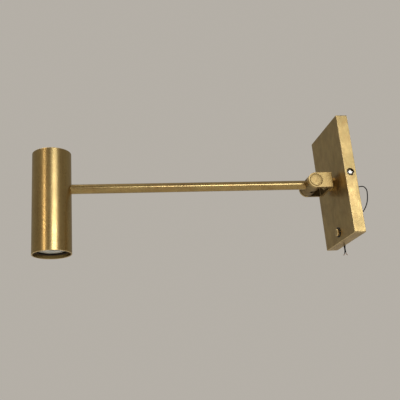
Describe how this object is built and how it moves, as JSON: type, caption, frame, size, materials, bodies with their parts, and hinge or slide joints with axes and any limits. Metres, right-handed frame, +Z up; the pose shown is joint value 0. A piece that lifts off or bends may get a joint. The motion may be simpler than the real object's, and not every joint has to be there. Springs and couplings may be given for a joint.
{
  "type": "picture light",
  "caption": "Wall-mounted brass picture light: slim rectangular backplate with push button, clevis knuckle, straight tilting arm and a cylindrical spot head that shines down.",
  "frame": {"origin": "centre of the wall face of the bracket behind the backplate, which is also the centre of the backplate's open back", "axes": "+Y into the wall, -Y out along the arm into the room, +X across the backplate along the tilt axis, +Z up"},
  "size_m": [0.0762, 0.3448, 0.1377],
  "materials": {
    "brass": "satin unlacquered brass, lightly aged",
    "raw_brass": "plain turned brass",
    "zinc_steel": "zinc-plated steel",
    "nickel": "nickel-plated steel",
    "black_plastic": "matt black moulding",
    "fibre": "red vulcanised fibre",
    "dark_steel": "blackened spring steel",
    "ceramic": "unglazed steatite",
    "lamp_metal": "die-cast aluminium",
    "mirror": "bright metallised reflector",
    "lens": "clear lens",
    "board": "white solder mask",
    "phosphor": "yellow phosphor",
    "lead_sleeve": "black lead insulation",
    "tinned_copper": "stripped stranded copper"
  },
  "bodies": {
    "base": {"wall_bracket": "zinc_steel", "backplate_cover": "brass", "cover_screw_right": "nickel", "cover_screw_left": "nickel", "switch_bezel": "black_plastic", "switch_nut": "nickel", "switch_body": "black_plastic", "neck_washer": "zinc_steel", "supply_lead_neutral": "lead_sleeve", "switch_lead": "lead_sleeve", "supply_lead_line": "lead_sleeve", "lead_tip_neutral": "tinned_copper", "lead_tip_line": "tinned_copper"},
    "button": {"button_cap": "brass"},
    "neck": {"neck_collar": "brass", "neck_nipple": "raw_brass", "neck_nut": "raw_brass", "clevis_bracket": "brass", "neck_lead_neutral": "lead_sleeve", "neck_lead_line": "lead_sleeve"},
    "arm": {"knuckle_barrel": "brass", "pivot_pin_right": "brass", "pivot_screw_left": "brass", "friction_washer_right": "fibre", "friction_washer_left": "fibre", "arm_tube": "brass", "head_tube": "brass", "head_top_cap": "brass", "arm_saddle_washer": "zinc_steel", "arm_lock_nut": "raw_brass", "holder_bracket": "zinc_steel", "lamp_holder": "ceramic", "holder_screw_right": "nickel", "holder_screw_left": "nickel", "retaining_ring": "dark_steel", "lamp_bezel": "dark_steel", "lamp_lens": "lens", "lamp_reflector": "mirror", "lamp_housing": "lamp_metal", "led_board": "board", "led_chip": "phosphor", "lamp_base": "ceramic", "lamp_pin_right": "nickel", "lamp_pin_left": "nickel", "arm_lead_neutral": "lead_sleeve", "arm_lead_line": "lead_sleeve"}
  },
  "joints": [
    {"name": "neck_swivel", "type": "hinge", "parent": "base", "child": "neck", "pos_m": [0, -0.0144, 0], "axis": [0, 1, 0], "range_deg": [-90, 90]},
    {"name": "arm_tilt", "type": "hinge", "parent": "neck", "child": "arm", "pos_m": [0, -0.0346, 0], "axis": [-1, 0, 0], "range_deg": [-75, 75]},
    {"name": "button_press", "type": "slide", "parent": "base", "child": "button", "axis": [0, 1, 0], "range_m": [0, 0.0012], "stiffness_N_per_m": 1200, "springref_m": -0.0008}
  ]
}
